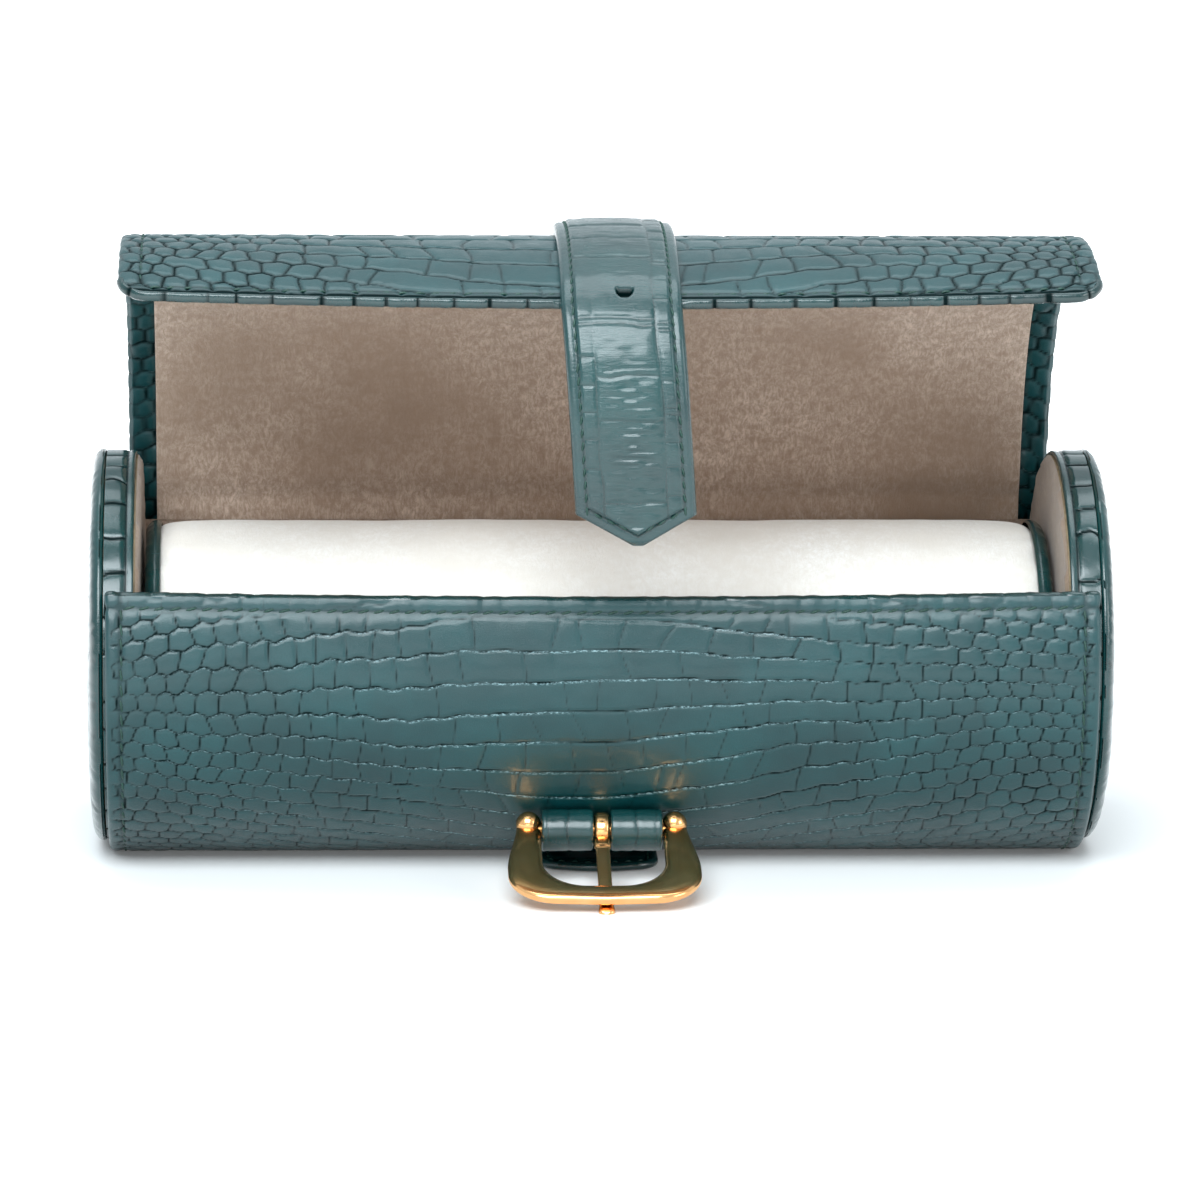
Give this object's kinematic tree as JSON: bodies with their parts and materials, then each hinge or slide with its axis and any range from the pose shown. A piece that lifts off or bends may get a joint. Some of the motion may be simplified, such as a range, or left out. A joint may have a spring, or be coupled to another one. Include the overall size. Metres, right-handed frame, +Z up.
{
  "type": "watch travel case",
  "caption": "Leather-covered drum case with a bending lid closed by a strap and buckle, and a lift-out suede cushion that watches are worn on.",
  "frame": {"origin": "middle of the flattened strip under the drum, on the surface that it stands on", "axes": "+X along the drum to the right, -Y to the front where the strap closes, +Z up"},
  "size_m": [0.2214, 0.1226, 0.1421],
  "materials": {
    "embossed_leather": "glossy reptile-embossed calf, deep green",
    "strap_leather": "glossy embossed strap leather, deep green",
    "edge_leather": "turned and rolled leather edge, deep green",
    "suede_lining": "beige suede lining",
    "pleated_suede": "beige suede laid in narrow pleats",
    "cream_suede": "cream suede cushion cover",
    "foam": "soft foam filling, hidden",
    "board": "raw pasteboard, hidden",
    "gold_plate": "polished gold plate"
  },
  "bodies": {
    "drum": {"wall_leather": "embossed_leather", "wall_board": "board", "wall_lining": "suede_lining", "front_lip_binding": "edge_leather", "end_disc_left": "embossed_leather", "end_disc_right": "embossed_leather", "plug_band_left": "embossed_leather", "plug_band_right": "embossed_leather", "plug_core_left": "board", "plug_core_right": "board", "pleated_face_left": "pleated_suede", "pleated_face_right": "pleated_suede", "chape_loop": "strap_leather", "buckle_backing_tab": "edge_leather"},
    "lid_stretch_1": {"lid_leather_1": "embossed_leather", "lid_board_1": "board", "lid_lining_1": "suede_lining", "lid_margin_1": "edge_leather"},
    "lid_stretch_2": {"lid_leather_2": "embossed_leather", "lid_board_2": "board", "lid_lining_2": "suede_lining", "lid_margin_2": "edge_leather", "strap_root": "strap_leather"},
    "lid_stretch_3": {"lid_leather_3": "embossed_leather", "lid_board_3": "board", "lid_lining_3": "suede_lining", "lid_margin_3": "edge_leather", "strap_back": "strap_leather"},
    "lid_stretch_4": {"lid_leather_4": "embossed_leather", "lid_board_4": "board", "lid_lining_4": "suede_lining", "lid_margin_4": "edge_leather", "strap_top": "strap_leather"},
    "lid_stretch_5": {"lid_leather_5": "embossed_leather", "lid_board_5": "board", "lid_lining_5": "suede_lining", "lid_margin_5": "edge_leather", "strap_front": "strap_leather", "lid_edge_binding": "edge_leather"},
    "strap_fold_1": {"strap_bend_upper": "strap_leather"},
    "strap_fold_2": {"strap_bend_lower": "strap_leather"},
    "strap_loose_end": {"strap_tip": "strap_leather"},
    "buckle": {"buckle_frame": "gold_plate", "heel_bar": "gold_plate"},
    "tongue": {"buckle_tongue": "gold_plate"},
    "cushion": {"roll_core": "foam", "roll_cover": "cream_suede", "roll_end_left": "embossed_leather", "roll_end_right": "embossed_leather"}
  },
  "joints": [
    {"name": "lid_hinge", "type": "hinge", "parent": "drum", "child": "lid_stretch_1", "pos_m": [0, 0.03508, 0.0725], "axis": [-1, 0, 0], "range_deg": [-40.5, 12]},
    {"name": "lid_flex_1", "type": "hinge", "parent": "lid_stretch_1", "child": "lid_stretch_2", "pos_m": [0, 0.02815, 0.099], "axis": [-1, 0, 0], "range_deg": [-11.7, 3.68]},
    {"name": "lid_flex_2", "type": "hinge", "parent": "lid_stretch_2", "child": "lid_stretch_3", "pos_m": [0, 0.01148, 0.12072], "axis": [-1, 0, 0], "range_deg": [-11.7, 3.68]},
    {"name": "lid_flex_3", "type": "hinge", "parent": "lid_stretch_3", "child": "lid_stretch_4", "pos_m": [0, -0.01234, 0.13425], "axis": [-1, 0, 0], "range_deg": [-11.7, 3.68]},
    {"name": "lid_flex_4", "type": "hinge", "parent": "lid_stretch_4", "child": "lid_stretch_5", "pos_m": [0, -0.03953, 0.13745], "axis": [-1, 0, 0], "range_deg": [-11.7, 3.68]},
    {"name": "strap_flex_1", "type": "hinge", "parent": "lid_stretch_5", "child": "strap_fold_1", "pos_m": [0, -0.06805, 0.13038], "axis": [-1, 0, 0], "range_deg": [-22.5, 75.22]},
    {"name": "strap_flex_2", "type": "hinge", "parent": "strap_fold_1", "child": "strap_fold_2", "pos_m": [0, -0.07165, 0.12557], "axis": [-1, 0, 0], "range_deg": [-23.7, 79.27]},
    {"name": "strap_swing", "type": "hinge", "parent": "strap_fold_2", "child": "strap_loose_end", "pos_m": [0, -0.07553, 0.11422], "axis": [-1, 0, 0], "range_deg": [0, 60]},
    {"name": "buckle_hinge", "type": "hinge", "parent": "drum", "child": "buckle", "pos_m": [0, -0.03743, 0.01136], "axis": [-1, 0, 0], "range_deg": [0, 80]},
    {"name": "tongue_hinge", "type": "hinge", "parent": "buckle", "child": "tongue", "pos_m": [0, -0.03743, 0.01136], "axis": [1, 0, 0], "range_deg": [0, 60]},
    {"name": "cushion_lift", "type": "slide", "parent": "drum", "child": "cushion", "axis": [0, -0.117, 0.9931], "range_m": [0, 0.04]}
  ],
  "couplings": [
    {"joint": "lid_flex_1", "follows": "lid_hinge", "ratio": 0.28148},
    {"joint": "lid_flex_2", "follows": "lid_hinge", "ratio": 0.28148},
    {"joint": "lid_flex_3", "follows": "lid_hinge", "ratio": 0.28148},
    {"joint": "lid_flex_4", "follows": "lid_hinge", "ratio": 0.28148},
    {"joint": "strap_flex_1", "follows": "lid_hinge", "ratio": -1.85},
    {"joint": "strap_flex_2", "follows": "lid_hinge", "ratio": -1.95}
  ]
}
